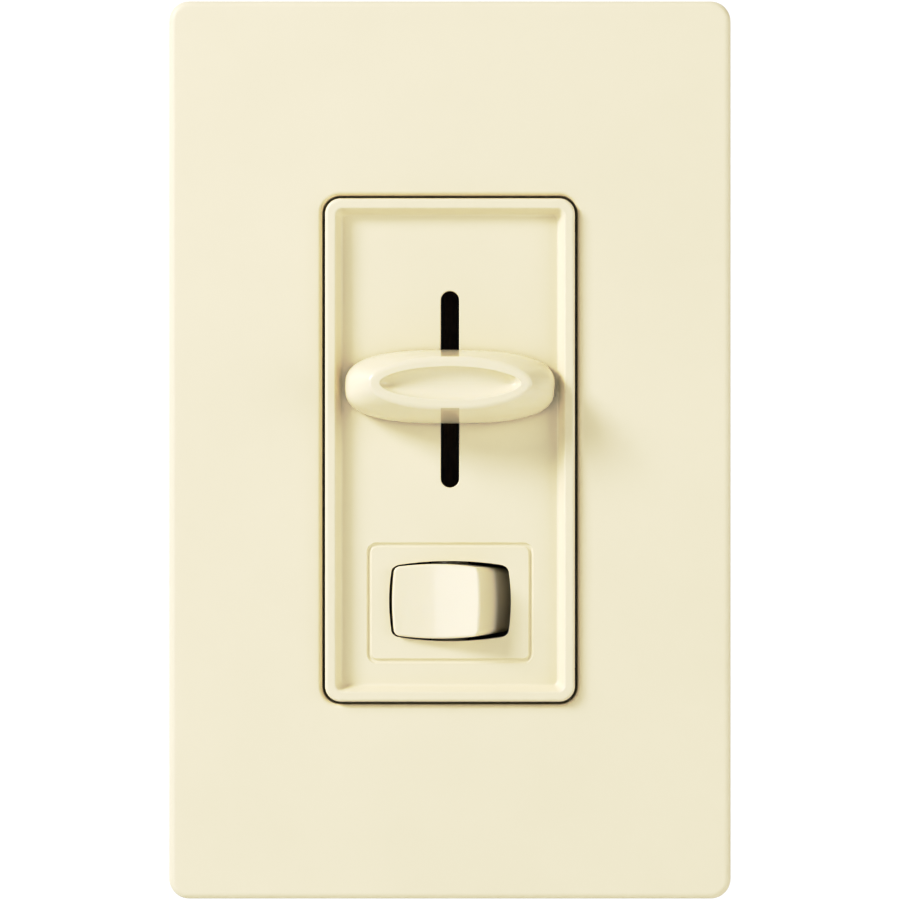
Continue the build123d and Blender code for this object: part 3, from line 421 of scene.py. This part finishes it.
def pad_grey():
    """Silicone pad over glass cloth, whose weave just shows."""
    n = moulded("pad_grey", (0.36, 0.38, 0.42, 1), roughness=0.62, spread=0.05, grain=1600, depth=0.004)
    waves = []
    for direction in ("X", "Z"):
        wave = n.add("TexWave", wave_type="BANDS", bands_direction=direction)
        wave.inputs["Scale"].default_value = 700
        n.link(n.place(), "Vector", wave, "Vector")
        waves.append(wave)
    weave = n.math("MAXIMUM", (waves[0], "Fac"), (waves[1], "Fac"))
    n.bump(weave, "Value", strength=0.5, distance=0.01 * MM)
    return n


SOFT_NYLON = {"Subsurface Weight": 0.3, "Subsurface Scale": 0.001}
COAT = {"Coat Weight": 0.6, "Coat Roughness": 0.08}
ROLLED = (1, 1, 0.04)
DRAWN = (0.06, 1, 1)
TURNED = (1, 0.05, 1)

# Colour, roughness, how far that varies, grain per metre and its depth in mm. Then, where they aren't the
# usual ones, drift of the colour and other settings.
PLASTICS = {
    "plate_ivory": (IVORY, 0.46, 0.05, 2400, 0.012, 0.012),
    "bezel_ivory": (IVORY, 0.42, 0.05, 2400, 0.010, 0.012),
    "carrier_plastic": ((0.74, 0.67, 0.44, 1), 0.55, 0.06, 1900, 0.012, 0.03),
    "fibre": ((0.22, 0.07, 0.035, 1), 0.75, 0.08, 2800, 0.02, 0.12),
    "black_film": (grey(0.012), 0.6, 0.06, 1500, 0.004),
    "white_nylon": ((0.80, 0.79, 0.72, 1), 0.38, 0.05, 1400, 0.004, 0.02, SOFT_NYLON),
    "black_nylon": (grey(0.022), 0.42, 0.06, 1800, 0.006),
    "pot_black": (grey(0.025), 0.48, 0.06, 1700, 0.008),
    "carbon": (grey(0.01), 0.35, 0.08, 3000, 0.003, 0.1),
    "housing_black": (grey(0.020), 0.50, 0.08, 3200, 0.03, 0.06),
    "epoxy_black": (grey(0.018), 0.55, 0.06, 2600, 0.012),
    "ferrite": ((0.62, 0.50, 0.06, 1), 0.38, 0.06, 900, 0.03, 0.08, COAT),
    "capacitor_yellow": ((0.72, 0.48, 0.03, 1), 0.28, 0.05, 1400, 0.006),
    "capacitor_red": ((0.42, 0.05, 0.02, 1), 0.22, 0.05, 700, 0.03, 0.08, COAT),
}

# Colour, roughness, stretch of the grain, grain per metre and its depth in mm. Then, where they aren't the
# usual ones, the shade of the tarnish, where 1 is none, and other settings.
METALS = {
    "zinc_steel": ((0.50, 0.50, 0.47, 1), 0.40, TURNED, 1400, 0.004),
    "strap_aluminium": ((0.76, 0.76, 0.77, 1), 0.34, ROLLED, 1500, 0.004, 0.93),
    "brass": ((0.80, 0.60, 0.29, 1), 0.28, ROLLED, 1500, 0.003, 0.78),
    "ground_green": ((0.03, 0.30, 0.10, 1), 0.30, EVEN, 1300, 0.003, 0.7),
    "spring_bronze": ((0.70, 0.43, 0.22, 1), 0.30, ROLLED, 1800, 0.002),
    "spring_steel": ((0.50, 0.50, 0.50, 1), 0.30, EVEN, 2500, 0.002),
    "contact_silver": ((0.88, 0.87, 0.82, 1), 0.24, EVEN, 1800, 0.002, 0.7),
    "black_oxide": (grey(0.05), 0.42, EVEN, 1500, 0.003, 0.6),
    "tinned": ((0.76, 0.76, 0.74, 1), 0.32, EVEN, 700, 0.012),
    "copper": ((0.78, 0.33, 0.14, 1), 0.24, DRAWN, 1200, 0.002, 0.88, COAT),
}

# Each is made by its own function.
SPECIAL = {
    "control_ivory": control_ivory,
    "phenolic": phenolic,
    "board_green": board_green,
    "pad_grey": pad_grey,
    "resistor_tan": resistor_tan,
    "diode_blue": diode_blue,
    "trimmer_blue": trimmer_blue,
}


def make_materials():
    """One finished material for each of the record's material slots."""
    made = {name: moulded(name, *values) for name, values in PLASTICS.items()}
    made.update({name: metal(name, *values) for name, values in METALS.items()})
    made.update({name: make() for name, make in SPECIAL.items()})
    return made


def wear(obj, material):
    """Puts one material on the whole of an object."""
    obj.data.materials.clear()
    obj.data.materials.append(material)


# ---------------------------------------------------------------- threaded screws

THREAD_PITCH = 25.4 / 32 * MM  # 6-32 thread
THREAD_RADIUS = 1.75 * MM
THREAD_DEPTH = 0.42 * MM
THREAD_AROUND = 36  # points round each ring
THREAD_RINGS = 10  # rings to each turn
FLANK_SLOPE = 3.4  # groove depths to one pitch
GROOVE_REACH = 1.35  # above 1, so that the groove's root is flat
POINT_LENGTH = 1.2 * THREAD_RADIUS
POINT_TAPER = 0.3  # share of the radius that the point loses

BOX_SCREW_HEAD = 3.0 * MM  # radius
PLATE_SCREW_SPACING = 96.84 * MM
BOX_THREAD_START = 0.45 * MM  # Y where the thread begins
PLATE_THREAD_START = -1.9 * MM
GROUND_THREAD_START = 2.1 * MM  # from the ground screw's outer face
SHANK_KEPT = 0.02 * MM  # how far past the thread's start the plain shank's points are kept
SAME_POINT = 0.000002  # points closer than this are merged


def add_thread(shape, start, along, length):
    """Adds a closed threaded shank to a bmesh, from start, tapering to a blunt point at its far end."""
    turn = along.to_track_quat("Z", "Y").to_matrix()
    rings = int(length / THREAD_PITCH * THREAD_RINGS)
    rows = []
    for ring in range(rings + 1):
        distance = length * ring / rings
        point = max(0.0, 1 - (length - distance) / POINT_LENGTH)
        row = []
        for step in range(THREAD_AROUND):
            angle = 2 * math.pi * step / THREAD_AROUND
            phase = (distance / THREAD_PITCH - step / THREAD_AROUND) % 1.0
            groove = max(0.0, min(1.0, GROOVE_REACH - abs(phase - 0.5) * FLANK_SLOPE))
            radius = (THREAD_RADIUS - THREAD_DEPTH * groove) * (1 - POINT_TAPER * point)
            local = Vector((radius * math.cos(angle), radius * math.sin(angle), distance))
            row.append(shape.verts.new(start + turn @ local))
        rows.append(row)
    for lower, upper in zip(rows, rows[1:]):
        for step in range(THREAD_AROUND):
            after = (step + 1) % THREAD_AROUND
            shape.faces.new((lower[step], lower[after], upper[after], upper[step]))
    shape.faces.new(list(reversed(rows[0])))
    shape.faces.new(rows[-1])


def threaded(node, axis, thread_start, thread_end, centres, body, slot, materials):
    """Copy of a node of screws whose plain shanks become real threads. Axis is 0 for X, 1 for Y."""
    source = frame["nodes"][node]
    shape = bmesh.new()
    shape.from_mesh(source.data)
    bmesh.ops.remove_doubles(shape, verts=shape.verts, dist=SAME_POINT)
    doomed = [v for v in shape.verts if v.co[axis] > thread_start + SHANK_KEPT]
    bmesh.ops.delete(shape, geom=doomed, context="VERTS")
    edges = [edge for edge in shape.edges if edge.is_boundary]
    bmesh.ops.holes_fill(shape, edges=edges, sides=0)
    along = Vector((0, 0, 0))
    along[axis] = 1
    for centre in centres:
        start = Vector(centre)
        start[axis] = thread_start
        add_thread(shape, start, along, thread_end - thread_start)
    bmesh.ops.recalc_face_normals(shape, faces=shape.faces)
    mesh = bpy.data.meshes.new(node + "_threaded")
    shape.to_mesh(mesh)
    shape.free()
    mesh.materials.append(materials[slot].material)
    piece = bpy.data.objects.new(node + "_threaded", mesh)
    scene.collection.objects.link(piece)
    mesh.shade_smooth()
    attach(piece, body)
    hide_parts(node)


def make_threads(materials):
    """Real threads on the plate, box and ground screws."""
    box_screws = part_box("mounting_screws")
    plate_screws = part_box("adapter_screws")
    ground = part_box("ground_screw")
    for_box = [(0, 0, box_screws[0].z + BOX_SCREW_HEAD), (0, 0, box_screws[1].z - BOX_SCREW_HEAD)]
    for_plate = [(0, 0, side * PLATE_SCREW_SPACING / 2) for side in (-1, 1)]
    for_ground = [(0, (ground[0].y + ground[1].y) / 2, (ground[0].z + ground[1].z) / 2)]
    screws = (
        ("mounting_screws", 1, BOX_THREAD_START, box_screws[1].y, for_box, "zinc_steel"),
        ("adapter_screws", 1, PLATE_THREAD_START, plate_screws[1].y, for_plate, "zinc_steel"),
        ("ground_screw", 0, ground[0].x + GROUND_THREAD_START, ground[1].x, for_ground, "ground_green"),
    )
    for node, axis, thread_start, thread_end, centres, slot in screws:
        threaded(node, axis, thread_start, thread_end, centres, "housing", slot, materials)


def dress(made):
    """Gives each CAD node the material of its slot, and the knob its own, which has painted shade over the
    slot.
    """
    for entry in frame["record"]["subparts"]:
        wear(frame["nodes"][entry["node"]], made[entry["material_slot"]].material)
    wear(frame["nodes"]["slider_knob"], knob_ivory_painted_shade().material)


set_tones()
make_camera()
make_world()
make_floor()
aim_area("key", azimuth=-60, elevation=31, distance=0.9, width=0.26, height=0.26, power=6.8)
aim_area("softbox", azimuth=-36, elevation=2, distance=0.95, width=0.45, height=0.60, power=1.9)
aim_area("fill", azimuth=62, elevation=5, distance=1.0, width=0.5, height=0.7, power=3.5)
materials = make_materials()
dress(materials)
make_threads(materials)
